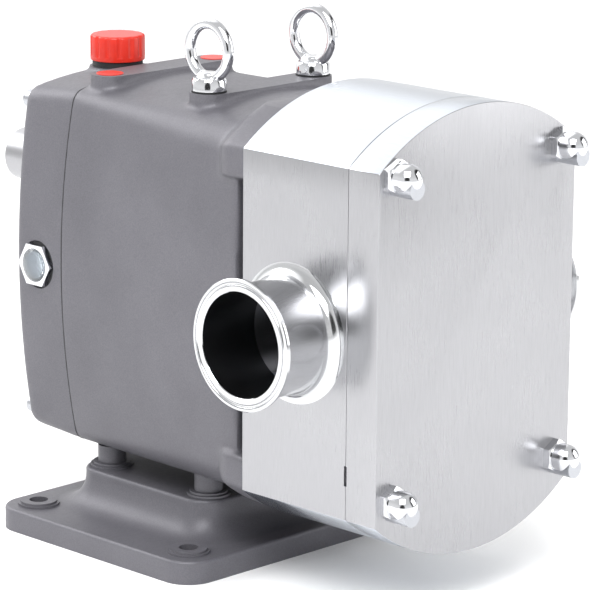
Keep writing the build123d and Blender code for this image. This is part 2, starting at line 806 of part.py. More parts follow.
def make_sight_glass():
    """Oil level eye: gasket, hexagon body and domed lens on the left of the rear cover."""
    seat_x = -sight_seat
    face_x = seat_x - sight_gasket_thickness
    with BuildPart() as gasket:
        with BuildSketch(sideways(seat_x, sight_y, axis_height)):
            Circle(sight_gasket_diameter / 2)
            Circle(sight_thread / 2, mode=Mode.SUBTRACT)
        extrude(amount=-sight_gasket_thickness)
    save(gasket, "sight_glass_gasket")
    with BuildPart() as body:
        with BuildSketch(sideways(face_x, sight_y, axis_height)):
            RegularPolygon(sight_hex / 2, 6, major_radius=False)
        extrude(amount=-sight_hex_height)
        with BuildSketch(sideways(face_x, sight_y, axis_height)):
            Circle(sight_thread / 2 - slip)
        extrude(amount=sight_gasket_thickness + body_wall)
        with BuildSketch(sideways(face_x - sight_hex_height, sight_y, axis_height)):
            Circle(sight_lens_diameter / 2)
        extrude(amount=3, mode=Mode.SUBTRACT)
        with BuildSketch(sideways(face_x, sight_y, axis_height)):
            Circle(sight_thread / 2 - 3)
        extrude(amount=2 * body_wall, both=True, mode=Mode.SUBTRACT)
    save(body, "sight_glass_body")
    lens_back = face_x - sight_hex_height + 3
    radius = sight_lens_diameter / 2 - slip
    with BuildPart() as lens:
        with BuildSketch(Plane(origin=(lens_back, sight_y, axis_height), x_dir=(0, 1, 0), z_dir=(0, 0, 1))):
            with BuildLine():
                Polyline((0, 3 + sight_lens_rise), (0, 0), (radius, 0), (radius, 3))
                RadiusArc((radius, 3), (0, 3 + sight_lens_rise), -(radius**2 + sight_lens_rise**2) / (2 * sight_lens_rise))
            make_face()
        revolve(axis=Axis((0, sight_y, axis_height), (1, 0, 0)))
    save(lens, "sight_glass_lens")


def make_drain_plug():
    """Hexagon drain plug low on the back."""
    with BuildPart() as plug:
        with BuildSketch(across(rear_face + 7, axis_height - drain_drop)):
            RegularPolygon(drain_hex / 2, 6, major_radius=False)
        extrude(amount=5)
        with BuildSketch(across(rear_face + 2, axis_height - drain_drop)):
            Circle(drain_hex / 2 + 2)
        extrude(amount=2)
        with BuildSketch(across(rear_face, axis_height - drain_drop)):
            Circle(drain_thread / 2 - slip)
        extrude(amount=body_wall)
    save(plug, "drain_plug")


# ---------------------------------------------------------------- shafts and what turns with them
def lobe_outline(first_lobe):
    """Cycloidal lobes and valleys rolled by one circle, each point set in by the rotor clearance."""
    def point(angle, turns, sign, turn_at):
        """Point of one lobe (sign +1) or valley (sign -1) at the rolling angle, turned to its place."""
        middle = rotor_pitch_radius + sign * rotor_rolling_radius
        roll = turns * angle
        x = middle * cos(angle) + sign * rotor_rolling_radius * cos(roll)
        y = middle * sin(angle) + sign * rotor_rolling_radius * sin(roll)
        from_contact_x = sign * (x - rotor_pitch_radius * cos(angle))
        from_contact_y = sign * (y - rotor_pitch_radius * sin(angle))
        length = hypot(from_contact_x, from_contact_y)
        if length < 1e-6:  # on the pitch circle, where the surface is radial
            from_contact_x, from_contact_y, length = -sin(angle), cos(angle), 1.0
            if sign * angle < 0:
                from_contact_x, from_contact_y = -from_contact_x, -from_contact_y
        x -= rotor_clearance * from_contact_x / length
        y -= rotor_clearance * from_contact_y / length
        return (x * cos(turn_at) - y * sin(turn_at), x * sin(turn_at) + y * cos(turn_at))

    half = pi / (2 * lobe_count)
    steps = 8
    angles = [half * (2 * i / steps - 1) for i in range(steps + 1)]
    with BuildLine() as outline:
        for lobe in range(lobe_count):
            turn = first_lobe + 2 * pi * lobe / lobe_count
            Spline([point(a, 2 * lobe_count + 1, 1, turn) for a in angles])
            Spline([point(a, 1 - 2 * lobe_count, -1, turn + 2 * half) for a in angles])
    make_face(outline.edges())


def make_rotor(name, z, first_lobe):
    """Tri-lobe rotor with keyed bore and a counterbore for its nut."""
    front = case_front + rotor_end_clearance
    rear = chamber_rear - rotor_end_clearance
    with BuildPart() as rotor:
        with BuildSketch(across(rear, z)):
            lobe_outline(first_lobe)
            Circle(rotor_seat / 2 + slip, mode=Mode.SUBTRACT)
        extrude(amount=rear - front)
        with BuildSketch(across(front, z)):
            Circle(rotor_nut_diameter / 2 + hole_slip)
        extrude(amount=-rotor_nut_length, mode=Mode.SUBTRACT)
        with BuildSketch(across(rear, z)):
            with Locations((0, rotor_seat / 2)):
                Rectangle(rotor_key_width + 2 * slip, rotor_key_height + 2 * slip)
        extrude(amount=rear - front, mode=Mode.SUBTRACT)
    save(rotor, name)


def make_rotor_nut(name, z):
    """Smooth domed rotor nut in the counterbore of the rotor."""
    front = case_front + rotor_end_clearance
    rear = front + rotor_nut_length
    with BuildPart() as nut:
        with BuildSketch(across(rear, z)):
            Circle(rotor_nut_diameter / 2)
        extrude(amount=rotor_nut_length)
        fillet(nut.edges().group_by(Axis.Y)[0], 4)
        with BuildSketch(across(rear, z)):
            Circle(rotor_thread / 2)
        extrude(amount=rotor_nut_length - 4, mode=Mode.SUBTRACT)
    save(nut, name)


def make_key(name, y_front, length, z, seat, width, height):
    """Parallel key, half in the shaft and half in the hub, above the shaft line."""
    with BuildPart() as key:
        with BuildSketch(across(y_front + length, z)):
            with Locations((0, seat / 2)):
                RectangleRounded(width, height, 0.5)
        extrude(amount=length)
    save(key, name)


def rotor_key_front():
    return chamber_rear - rotor_end_clearance - rotor_key_length - 6


def make_shaft(name, z, driven_end):
    """Stepped shaft. The upper one runs out through the rear cover and carries the coupling key seat."""
    rotor_front = case_front + rotor_end_clearance
    thread_front = rotor_front + 4 + slip
    seat_front = rotor_front + rotor_nut_length
    seal_front = chamber_rear - rotor_end_clearance
    seat_end = rear_face + output_shoulder if name == "drive_shaft" else driven_end
    steps = [
        (thread_front, seat_front, rotor_thread - 2 * slip),
        (seat_front, seal_front, rotor_seat),
        (seal_front, body_front - face_slip, seal_seat),
        (body_front - face_slip, front_wall_rear, bearing_seat),
        (front_wall_rear, gear_front, collar_diameter),
        (gear_front, locknut_rear, gear_seat),
        (locknut_rear, rear_bearing_front, shaft_middle),
        (rear_bearing_front, rear_bearing_rear, bearing_seat),
        (rear_bearing_rear, seat_end, rear_seal_seat),
    ]
    if name == "drive_shaft":
        steps.append((seat_end, driven_end, output_diameter))
    with BuildPart() as shaft:
        for start, stop, diameter in steps:
            with BuildSketch(across(stop, z)):
                Circle(diameter / 2)
            extrude(amount=stop - start)
        chamfer(shaft.edges().group_by(Axis.Y)[-1], shaft_end_chamfer)
        with BuildSketch(across(rotor_key_front() + rotor_key_length + slip, z)):
            with Locations((0, rotor_seat / 2)):
                Rectangle(rotor_key_width + 2 * slip, rotor_key_height + 2 * slip)
        extrude(amount=rotor_key_length + 2 * slip, mode=Mode.SUBTRACT)
        with BuildSketch(across(gear_front + gear_key_length + slip, z)):
            with Locations((0, gear_seat / 2)):
                Rectangle(gear_key_width + 2 * slip, gear_key_height + 2 * slip)
        extrude(amount=gear_key_length, mode=Mode.SUBTRACT)
        if name == "drive_shaft":
            key_rear = driven_end - output_key_margin
            with BuildSketch(sideways(output_diameter / 2, key_rear - output_key_length / 2, z)):
                SlotOverall(output_key_length, output_key_width)
            extrude(amount=-output_key_depth, mode=Mode.SUBTRACT)
    save(shaft, name)


def gear_teeth(turn):
    """Involute spur gear outline, each flank one arc through three points of its involute."""
    pitch_radius = shaft_spacing / 2
    teeth = round(shaft_spacing / gear_module)
    base_radius = pitch_radius * cos(radians(pressure_angle))
    tip_radius = pitch_radius + gear_module
    root_radius = pitch_radius - 1.25 * gear_module
    half_tooth = pi / (2 * teeth) - gear_backlash / (2 * pitch_radius)

    def roll(radius):
        tangent = sqrt(max((radius / base_radius) ** 2 - 1, 0))
        return tangent - atan(tangent)

    def flank(radius, side, middle):
        angle = middle + side * (half_tooth + roll(pitch_radius) - roll(radius))
        return (radius * cos(angle), radius * sin(angle))

    with BuildLine() as outline:
        for tooth in range(teeth):
            middle = turn + 2 * pi * tooth / teeth
            following = middle + 2 * pi / teeth
            low = max(root_radius, base_radius)
            foot = (root_radius / low * flank(low, -1, middle)[0], root_radius / low * flank(low, -1, middle)[1])
            heel = (root_radius / low * flank(low, 1, middle)[0], root_radius / low * flank(low, 1, middle)[1])
            next_foot = flank(low, -1, following)
            next_foot = (root_radius / low * next_foot[0], root_radius / low * next_foot[1])
            Line(foot, flank(low, -1, middle))
            ThreePointArc(*[flank(r, -1, middle) for r in (low, (low + tip_radius) / 2, tip_radius)])
            Line(flank(tip_radius, -1, middle), flank(tip_radius, 1, middle))
            ThreePointArc(*[flank(r, 1, middle) for r in (tip_radius, (low + tip_radius) / 2, low)])
            Line(flank(low, 1, middle), heel)
            Line(heel, next_foot)
    make_face(outline.edges())


def make_timing_gear(name, z, turn):
    """Timing gear with keyed bore and a recessed web on both sides."""
    with BuildPart() as gear:
        with BuildSketch(across(gear_rear, z)):
            gear_teeth(turn)
            Circle(gear_seat / 2 + slip, mode=Mode.SUBTRACT)
        extrude(amount=gear_width)
        with BuildSketch(across(gear_rear, z)):
            with Locations((0, gear_seat / 2)):
                Rectangle(gear_key_width + 2 * slip, gear_key_height + 2 * slip)
        extrude(amount=gear_width, mode=Mode.SUBTRACT)
        with BuildSketch(across(gear_rear, z)):
            Circle(shaft_spacing / 2 - 2 * gear_module)
            Circle(locknut_outer / 2 + 1, mode=Mode.SUBTRACT)
        extrude(amount=5, mode=Mode.SUBTRACT)
    save(gear, name)


def make_rollers(name, y_front, z):
    """Rolling elements of one bearing, between the races."""
    pitch = (inner_race + outer_race) / 4
    radius = (outer_race - inner_race) / 4 - slip
    margin = (bearing_width - roller_length) / 2
    with BuildPart() as rollers:
        with BuildSketch(across(y_front + bearing_width - margin, z)):
            with PolarLocations(pitch, roller_count):
                Circle(radius)
        extrude(amount=roller_length)
    save(rollers, name)


def make_shaft_line(side):
    """All the pieces that repeat on the upper and the lower shaft."""
    z = shaft_lines[side]
    first_lobe = -pi / 2  # both point down, so the upper lobe stands in a valley of the lower rotor
    tooth_turn = {"upper": -pi / 2, "lower": pi / 2 + pi / round(shaft_spacing / gear_module)}[side]
    make_rotor(f"{side}_rotor", z, first_lobe)
    make_rotor_nut(f"{side}_rotor_nut", z)
    make_key(
        f"{side}_rotor_key", rotor_key_front(), rotor_key_length, z, rotor_seat, rotor_key_width, rotor_key_height
    )
    make_timing_gear(f"{side}_timing_gear", z, tooth_turn)
    make_key(
        f"{side}_gear_key", gear_front + slip, gear_key_length - slip, z, gear_seat, gear_key_width, gear_key_height
    )
    turned_ring(f"{side}_locknut", gear_rear, locknut_rear, z, locknut_outer, gear_seat + 2 * slip)
    # shaft seal: fixed seat in the case wall, turning ring behind it
    turned_ring(
        f"{side}_seal_seat", chamber_rear, case_rear, z, face_seal_outer - 2 * slip, seal_seat + 2 * hole_slip
    )
    ring_front = case_rear + face_slip
    turned_ring(
        f"{side}_seal_ring", ring_front, ring_front + seal_ring_length, z, seal_ring_outer, seal_seat + 2 * slip
    )
    turned_ring(
        f"{side}_oil_seal", body_front, body_front + oil_seal_width, z, oil_seal_outer - 2 * slip,
        bearing_seat + 2 * slip,
    )
    for end, y_front in (("front", front_bearing_front), ("rear", rear_bearing_front)):
        y_rear = y_front + bearing_width
        turned_ring(f"{side}_{end}_outer_race", y_front, y_rear, z, bearing_outer - 2 * slip, outer_race + 2 * slip)
        turned_ring(f"{side}_{end}_inner_race", y_front, y_rear, z, inner_race - 2 * slip, bearing_seat + 2 * slip)
        make_rollers(f"{side}_{end}_rollers", y_front, z)


make_pedestal()
make_pedestal_posts()
make_pedestal_screws()
make_gear_case()
make_rear_cover()
make_cover_gasket()
make_rear_cover_screws()
make_rotor_case()
make_cover_o_ring()
make_front_cover()
make_case_studs()
make_dome_nuts()
make_port("left_port", -1)
make_port("right_port", 1)
make_eye_bolt("left_eye_bolt", -1)
make_eye_bolt("right_eye_bolt", 1)
make_eye_bolt_washers()
make_blanking_plugs()
make_filler_gasket()
make_filler_cap()
make_sight_glass()
make_drain_plug()
make_shaft("drive_shaft", upper_z, shaft_end)
make_shaft("driven_shaft", lower_z, rear_wall_front - face_slip)
for shaft_side in shaft_lines:
    make_shaft_line(shaft_side)
turned_ring(
    "drive_shaft_seal", rear_face - oil_seal_width, rear_face, upper_z, oil_seal_outer - 2 * slip,
    rear_seal_seat + 2 * slip,
)
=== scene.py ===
"""Looks of a rotary lobe pump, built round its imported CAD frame.

Pieces are modelled in millimetres and brought to metres when they are finished.
"""
import json
from math import atan2, cos, hypot, pi, radians, sin, sqrt

import bmesh
import bpy
from mathutils import Matrix, Vector


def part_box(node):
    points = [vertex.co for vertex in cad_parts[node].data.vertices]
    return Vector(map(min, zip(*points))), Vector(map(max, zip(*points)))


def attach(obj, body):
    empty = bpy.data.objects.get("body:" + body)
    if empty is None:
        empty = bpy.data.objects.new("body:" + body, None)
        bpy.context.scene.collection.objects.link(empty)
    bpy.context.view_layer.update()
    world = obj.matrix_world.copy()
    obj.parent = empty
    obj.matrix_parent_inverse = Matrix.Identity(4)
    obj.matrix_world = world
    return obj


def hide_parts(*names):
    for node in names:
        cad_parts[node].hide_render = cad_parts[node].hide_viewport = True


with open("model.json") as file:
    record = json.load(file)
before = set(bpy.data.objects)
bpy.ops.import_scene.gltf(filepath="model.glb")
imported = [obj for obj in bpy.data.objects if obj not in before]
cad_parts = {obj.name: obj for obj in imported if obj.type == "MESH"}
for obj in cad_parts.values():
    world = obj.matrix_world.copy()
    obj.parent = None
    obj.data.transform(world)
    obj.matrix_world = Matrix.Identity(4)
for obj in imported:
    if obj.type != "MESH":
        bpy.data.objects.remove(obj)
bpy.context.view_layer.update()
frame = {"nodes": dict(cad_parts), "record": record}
MM = 0.001
Y, Z = Vector((0, 1, 0)), Vector((0, 0, 1))


def mm_box(node):
    """Lowest and highest corners of a CAD node, in millimetres."""
    low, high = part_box(node)
    return Vector(low) / MM, Vector(high) / MM


# ---------------------------------------------------------------- places read from the frame
case_low, case_high = mm_box("rotor_case")
cover_front = mm_box("front_cover")[0].y
body_joint = mm_box("gear_case")[1].y
rear_face = mm_box("rear_cover")[1].y
port_low, port_high = mm_box("left_port")
plug_low, plug_high = mm_box("blanking_plugs")
seal_low, seal_high = mm_box("filler_gasket")
eye_low, eye_high = mm_box("left_eye_bolt")
screw_high = mm_box("rear_cover_screws")[1]
glass_low, glass_high = mm_box("sight_glass_body")
drive_low, drive_high = mm_box("drive_shaft")
driven_low, driven_high = mm_box("driven_shaft")

axis_height = (case_low.z + case_high.z) / 2
upper_z = (drive_low.z + drive_high.z) / 2
lower_z = (driven_low.z + driven_high.z) / 2
case_side = case_high.x
case_crown = case_high.z - axis_height
case_front, case_rear = case_low.y, case_high.y
body_front = case_rear + 11.5                        # open air between rotor case and gear case
port_y = (port_low.y + port_high.y) / 2
boss_x = (eye_high.x + eye_low.x) / -2
boss_y = (plug_high.y + plug_low.y) / 2
boss_top = plug_high.z - 0.6                         # the plugs stand this far proud
filler = Vector(((seal_low.x + seal_high.x) / 2, (seal_low.y + seal_high.y) / 2, seal_low.z))
post_top = mm_box("pedestal_posts")[1].z
sight_seat_x = mm_box("sight_glass_gasket")[1].x
sight_y = (glass_low.y + glass_high.y) / 2

# ---------------------------------------------------------------- sizes of the real pieces, in millimetres
CASE_SHOULDER = 121.0                                # half height of the flat sides
CHAMBER_DEPTH = 88.0
CHAMBER_RADIUS = (upper_z - lower_z) / 2 * 4 / 3 + 0.65
SHAFT_HOLE = 30.0
COVER_GASKET = 0.8
TRIM = 4.0                                           # castings are drawn this much long, then faced off
LUG_REACH = 98.0
BOSS_RADIUS = 14.0
PLUG_POCKET, PLUG_DEPTH = 10.05, 6.0
REAR_EDGE = 9.0
FILLER_BOSS = 20.75
SCREW_PAD = 9.0
SCREW_X = screw_high.x - 6.5
SCREW_Z = screw_high.z - 6.5 - axis_height
SIGHT_SEAT = 18.0
SEAL_POCKET, SEAL_DEPTH = 31.0, 8.0
PORT_BORE, PORT_TUBE, PORT_RIM = 36.45, 40.0, 45.45
PORT_FLARE, PORT_EDGE, FERRULE_SLOPE = 9.0, 2.9, 0.364
CLAMP_GROOVE, CLAMP_GROOVE_RADIUS = 41.75, 1.6
STUD_X, STUD_Z = 83.6, 111.6
NUT_FLATS, NUT_HEX, NUT_DOME = 22.0, 12.0, 10.2
EYE_MAJOR, EYE_MINOR, EYE_WASHER = 19.35, 4.1, 0.8
eye_ring_z = eye_high.z - 30.5 / 2 - 8.2
CAP_RADIUS, CAP_FLUTES, CAP_FLANGE = 20.25, 14, 3.0
cap_base = seal_high.z + 0.1
cap_height = mm_box("filler_cap")[1].z - cap_base


# ---------------------------------------------------------------- small tools
def deselect():
    """Back to object mode with nothing selected."""
    if bpy.context.mode != "OBJECT":
        bpy.ops.object.mode_set(mode="OBJECT")
    bpy.ops.object.select_all(action="DESELECT")


def named(name):
    """The primitive that was just added, under its own name."""
    piece = bpy.context.active_object
    piece.name = name
    return piece


def only(piece):
    deselect()
    piece.select_set(True)
    bpy.context.view_layer.objects.active = piece


def apply_modifier(piece, kind, **settings):
    only(piece)
    modifier = piece.modifiers.new(kind.title(), kind)
    for key, value in settings.items():
        setattr(modifier, key, value)
    bpy.ops.object.modifier_apply(modifier=modifier.name)


def combine(piece, other, operation):
    """Boolean of two closed pieces; the other one is used up."""
    apply_modifier(piece, "BOOLEAN", operation=operation, object=other, solver="EXACT")
    bpy.data.objects.remove(other, do_unlink=True)


def join(pieces, name):
    deselect()
    for piece in pieces:
        piece.select_set(True)
    bpy.context.view_layer.objects.active = pieces[0]
    bpy.ops.object.join()
    return named(name)


def tidy_normals(piece):
    only(piece)
    bpy.ops.object.mode_set(mode="EDIT")
    bpy.ops.mesh.select_all(action="SELECT")
    bpy.ops.mesh.remove_doubles(threshold=0.001)
    bpy.ops.mesh.normals_make_consistent(inside=False)
    bpy.ops.object.mode_set(mode="OBJECT")


def cut_plane(piece, point, normal):
    """Cuts away what lies on the normal's side of a plane and closes the cut."""
    only(piece)
    bpy.ops.object.mode_set(mode="EDIT")
    bpy.ops.mesh.select_all(action="SELECT")
    bpy.ops.mesh.bisect(plane_co=point, plane_no=normal, clear_outer=True, use_fill=True)
    bpy.ops.object.mode_set(mode="OBJECT")


def finished(piece, body, material, replaces=(), smooth=35.0):
    """Last step of a piece: metres, smooth shading by angle, its material, its body and what it stands for."""
    only(piece)
    bpy.ops.object.transform_apply(location=True, rotation=True, scale=True)
    piece.scale = (MM, MM, MM)
    bpy.ops.object.transform_apply(location=False, rotation=False, scale=True)
    bpy.ops.object.shade_smooth_by_angle(angle=radians(smooth))
    piece.data.materials.clear()
    piece.data.materials.append(material)
    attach(piece, body)
    if replaces:
        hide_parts(*replaces)
    return piece


def second_finish_or_painted_light(piece, material, wanted):
    """Gives the faces that the test picks a second material: a finer polish whose brighter colour is painted
    sheen, or darker steel as painted shade.
    """
    piece.data.materials.append(material)
    for face in piece.data.polygons:
        face.material_index = int(wanted(face))


def on_arch_painted_sheen(face):
    """Crowned faces above and below, between the flat sides, which take the arch steel with its painted sheen."""
    return abs(face.normal.z) > 0.5 and abs(face.normal.y) < 0.5


def copied(piece, name, transform):
    """A copy with its own mesh, moved by a matrix."""
    twin = piece.copy()
    twin.data = piece.data.copy()
    twin.name = name
    bpy.context.collection.objects.link(twin)
    twin.data.transform(transform)
    return twin


def block(name, low, high):
    """Closed box between two corners."""
    low, high = Vector(low), Vector(high)
    deselect()
    bpy.ops.mesh.primitive_cube_add(size=1, location=(low + high) / 2)
    piece = named(name)
    piece.scale = high - low
    bpy.ops.object.transform_apply(location=True, rotation=True, scale=True)
    return piece


def rod(name, radius, start, end, vertices=64):
    """Closed cylinder between two points."""
    start, end = Vector(start), Vector(end)
    deselect()
    bpy.ops.mesh.primitive_cylinder_add(vertices=vertices, radius=radius, depth=(end - start).length)
    piece = named(name)
    turn = (end - start).to_track_quat("Z", "Y").to_matrix().to_4x4()
    piece.data.transform(Matrix.Translation((start + end) / 2) @ turn)
    return piece


def turned(name, profile, place, axis, steps=96):
    """Lathe: (radius, height) points drawn from one vertex and spun round the axis through the place."""
    deselect()
    bpy.ops.mesh.primitive_plane_add(size=1)
    piece = named(name)
    bpy.ops.object.mode_set(mode="EDIT")
    bpy.ops.mesh.select_all(action="SELECT")
    bpy.ops.mesh.merge(type="CENTER")
    bpy.ops.transform.translate(value=(profile[0][0], 0, profile[0][1]))
    for (r0, h0), (r1, h1) in zip(profile, profile[1:]):
        bpy.ops.mesh.extrude_region_move(TRANSFORM_OT_translate={"value": (r1 - r0, 0, h1 - h0)})
    bpy.ops.mesh.select_all(action="SELECT")
    bpy.ops.mesh.spin(steps=steps, angle=2 * pi, center=(0, 0, 0), axis=(0, 0, 1), use_auto_merge=False)
    bpy.ops.object.mode_set(mode="OBJECT")
    tidy_normals(piece)
    turn = Vector(axis).to_track_quat("Z", "Y").to_matrix().to_4x4()
    piece.data.transform(Matrix.Translation(place) @ turn)
    return piece


def arc(centre, radius, start, end, steps):
    """Points of an arc in a profile, angles in degrees, both ends included."""
    angles = [radians(start + (end - start) * i / steps) for i in range(steps + 1)]
    return [(centre[0] + radius * cos(a), centre[1] + radius * sin(a)) for a in angles]


def lofted(name, rings):
    """Closed skin over rings of points: a filled circle is set on the first ring and extruded to the rest."""
    count = len(rings[0])
    deselect()
    bpy.ops.mesh.primitive_circle_add(vertices=count, radius=1, fill_type="NGON")
    piece = named(name)
    bpy.ops.object.mode_set(mode="EDIT")
    mesh = bmesh.from_edit_mesh(piece.data)
    around = mesh.verts.layers.int.new("around")
    mesh.verts.ensure_lookup_table()
    for index, vertex in enumerate(mesh.verts):
        vertex[around] = index
        vertex.co = rings[0][index]
    for ring in rings[1:]:
        bmesh.update_edit_mesh(piece.data)
        bpy.ops.mesh.extrude_region_move()
        mesh = bmesh.from_edit_mesh(piece.data)
        around = mesh.verts.layers.int["around"]
        for vertex in mesh.verts:
            if vertex.select:
                vertex.co = ring[vertex[around]]
    bmesh.update_edit_mesh(piece.data)
    bpy.ops.object.mode_set(mode="OBJECT")
    tidy_normals(piece)
    return piece


# ---------------------------------------------------------------- outlines
def case_outline(y, inset=0.0, arc_steps=48, side_steps=12):
    """Rotor case outline at station y: flat sides and crowned arcs."""
    rise = case_crown - CASE_SHOULDER
    radius = (case_side**2 + rise**2) / (2 * rise)
    side = case_side - inset
    middle = case_crown - radius
    half_angle = atan2(side, sqrt((radius - inset) ** 2 - side**2))
    shoulder = middle + (radius - inset) * cos(half_angle)
    points = []
    for i in range(arc_steps):
        angle = -half_angle + 2 * half_angle * i / arc_steps
        points.append((sin(angle) * (radius - inset), middle + cos(angle) * (radius - inset)))
    points += [(side, shoulder - 2 * shoulder * i / side_steps) for i in range(side_steps)]
    points += [(-x, -z) for x, z in points]
    return [Vector((x, y, axis_height + z)) for x, z in points]


def body_outline(y, side, corner, shoulder, crown, radius, wall=0.0, long_steps=16, corner_steps=10):
    """Gear case outline at station y: four gentle arcs joined by corner arcs, set in by the wall."""
    rise = crown - shoulder
    top_radius = (corner**2 + rise**2) / (2 * rise)
    top_middle = crown - top_radius
    bulge = side - corner
    side_radius = (shoulder**2 + bulge**2) / (2 * bulge)
    side_middle = side - side_radius
    top_radius, side_radius, radius = top_radius - wall, side_radius - wall, max(radius - wall, 4.0)
    # centre of the corner arc: a corner radius inside both arcs
    r0, r1 = top_radius - radius, side_radius - radius
    apart = hypot(side_middle, top_middle)
    along = (r0**2 - r1**2 + apart**2) / (2 * apart)
    off = sqrt(r0**2 - along**2)
    direction = Vector((side_middle, -top_middle)) / apart
    base = Vector((0, top_middle)) + direction * along
    choices = [base + Vector((direction.y, -direction.x)) * off * s for s in (1, -1)]
    centre = max(choices, key=lambda c: c.x + c.y)
    top_angle = atan2(centre.x, centre.y - top_middle)
    side_angle = atan2(centre.y, centre.x - side_middle)
    points = []
    for i in range(long_steps):
        a = -top_angle + 2 * top_angle * i / long_steps
        points.append((top_radius * sin(a), top_middle + top_radius * cos(a)))
    start, end = pi / 2 - top_angle, side_angle
    for i in range(corner_steps):
        a = start + (end - start) * i / corner_steps
        points.append((centre.x + radius * cos(a), centre.y + radius * sin(a)))
    for i in range(long_steps):
        a = side_angle - 2 * side_angle * i / long_steps
        points.append((side_middle + side_radius * cos(a), side_radius * sin(a)))
    for i in range(corner_steps):
        a = -end + (end - start) * i / corner_steps
        points.append((centre.x + radius * cos(a), -centre.y + radius * sin(a)))
    points += [(-x, -z) for x, z in points]
    return [Vector((x, y, axis_height + z)) for x, z in points]


# gear case sections: half width at the middle and at the corner, half height at the corner and on the middle
# line, corner radius
FRONT = (94.5, 91.0, 127.0, 139.5, 30.0)
JOINT = (87.8, 73.5, 130.0, 139.5, 12.0)
REAR = (86.5, 74.5, 127.5, 135.5, 14.0)


def between(a, b, share):
    """Section that lies this share of the way from one to another."""
    return tuple(p + (q - p) * share for p, q in zip(a, b))


# ---------------------------------------------------------------- materials
def linear(code):
    """Linear colour of an sRGB hex value."""
    parts = [int(code[i:i + 2], 16) / 255 for i in (1, 3, 5)]
    return tuple(c / 12.92 if c <= 0.04045 else ((c + 0.055) / 1.055) ** 2.4 for c in parts) + (1.0,)


def new_material(name):
    """A material with its tree, its shader and the Object coordinates."""
    material = bpy.data.materials.new(name)
    material.use_nodes = True
    tree = material.node_tree
    shader = tree.nodes["Principled BSDF"]
    coordinates = tree.nodes.new("ShaderNodeTexCoord")
    return material, tree, shader, coordinates.outputs["Object"]


def add_node(tree, kind, inputs=None, **settings):
    """Adds a node, sets its properties, and sets or links its inputs."""
    made = tree.nodes.new(kind)
    for key, value in settings.items():
        setattr(made, key, value)
    for key, value in (inputs or {}).items():
        if isinstance(value, bpy.types.NodeSocket):
            tree.links.new(value, made.inputs[key])
        else:
            made.inputs[key].default_value = value
    return made


def add_bump(tree, height, strength, distance):
    """Bump node; the distance is in metres."""
    return add_node(tree, "ShaderNodeBump", {"Height": height, "Strength": strength, "Distance": distance})


def set_ramp(ramp, stops):
    """Colour ramp from (position, colour) stops."""
    elements = ramp.color_ramp.elements
    while len(elements) < len(stops):
        elements.new(0.5)
    for element, (position, colour) in zip(elements, stops):
        element.position = position
        element.color = colour


def grey(value):
    return (value, value, value, 1.0)


def per_mm(size):
    """Noise scale for features of this many millimetres."""
    return 1.0 / (size * MM)


def painted_casting():
    """Shot blasted iron casting, sprayed with satin grey enamel: a soft sheen over a faintly grainy skin."""
    material, tree, shader, place = new_material("grey_enamel_on_cast_iron")
    cloud = add_node(tree, "ShaderNodeTexNoise", {"Vector": place, "Scale": per_mm(60), "Detail": 3.0})
    grain = add_node(tree, "ShaderNodeTexNoise", {"Vector": place, "Scale": per_mm(0.9), "Detail": 2.0})
    peel = add_node(tree, "ShaderNodeTexNoise", {"Vector": place, "Scale": per_mm(3.5), "Detail": 2.0})
    tone = add_node(tree, "ShaderNodeValToRGB", {"Fac": cloud.outputs["Fac"]})
    set_ramp(tone, [(0.3, linear("#5d5c62")), (0.7, linear("#65646a"))])
    speck = add_node(tree, "ShaderNodeValToRGB", {"Fac": grain.outputs["Fac"]})
    set_ramp(speck, [(0.35, grey(0.86)), (0.65, grey(1.06))])
    colour = add_node(tree, "ShaderNodeMix", {"Factor": 1.0}, data_type="RGBA", blend_type="MULTIPLY")
    tree.links.new(tone.outputs["Color"], colour.inputs["A"])
    tree.links.new(speck.outputs["Color"], colour.inputs["B"])
    tree.links.new(colour.outputs["Result"], shader.inputs["Base Color"])
    rough = add_node(tree, "ShaderNodeMapRange", {"Value": peel.outputs["Fac"], "To Min": 0.40, "To Max": 0.54})
    tree.links.new(rough.outputs["Result"], shader.inputs["Roughness"])
    skin = add_bump(tree, grain.outputs["Fac"], 0.25, 0.00012)
    wavy = add_node(
        tree, "ShaderNodeBump",
        {"Height": peel.outputs["Fac"], "Normal": skin.outputs["Normal"], "Strength": 0.3, "Distance": 0.0002},
    )
    tree.links.new(wavy.outputs["Normal"], shader.inputs["Normal"])
    shader.inputs["Metallic"].default_value = 0.25
    shader.inputs["IOR"].default_value = 1.5
    return material


def brushed_stainless(name, colour, low, high, stretch, line=0.35, strength=0.12):
    """Linished stainless steel: fine parallel lines give a soft reflection, streaked along one way."""
    material, tree, shader, place = new_material(name)
    long_way = add_node(tree, "ShaderNodeMapping", {"Vector": place, "Scale": stretch})
    lines = add_node(
        tree, "ShaderNodeTexNoise", {"Vector": long_way.outputs["Vector"], "Scale": per_mm(line), "Detail": 3.0}
    )
    haze = add_node(tree, "ShaderNodeTexNoise", {"Vector": place, "Scale": per_mm(45), "Detail": 2.0})
    both = add_node(
        tree, "ShaderNodeMath", {0: lines.outputs["Fac"], 1: haze.outputs["Fac"]}, operation="ADD"
    )
    rough = add_node(
        tree, "ShaderNodeMapRange",
        {"Value": both.outputs["Value"], "From Min": 0.6, "From Max": 1.4, "To Min": low, "To Max": high},
    )
    tree.links.new(rough.outputs["Result"], shader.inputs["Roughness"])
    tone = add_node(tree, "ShaderNodeValToRGB", {"Fac": lines.outputs["Fac"]})
    dark = tuple(c * 0.9 for c in linear(colour)[:3]) + (1.0,)
    set_ramp(tone, [(0.3, dark), (0.65, linear(colour))])
    tree.links.new(tone.outputs["Color"], shader.inputs["Base Color"])
    bump = add_bump(tree, lines.outputs["Fac"], strength, 0.00003)
    tree.links.new(bump.outputs["Normal"], shader.inputs["Normal"])
    shader.inputs["Metallic"].default_value = 1.0
    return material


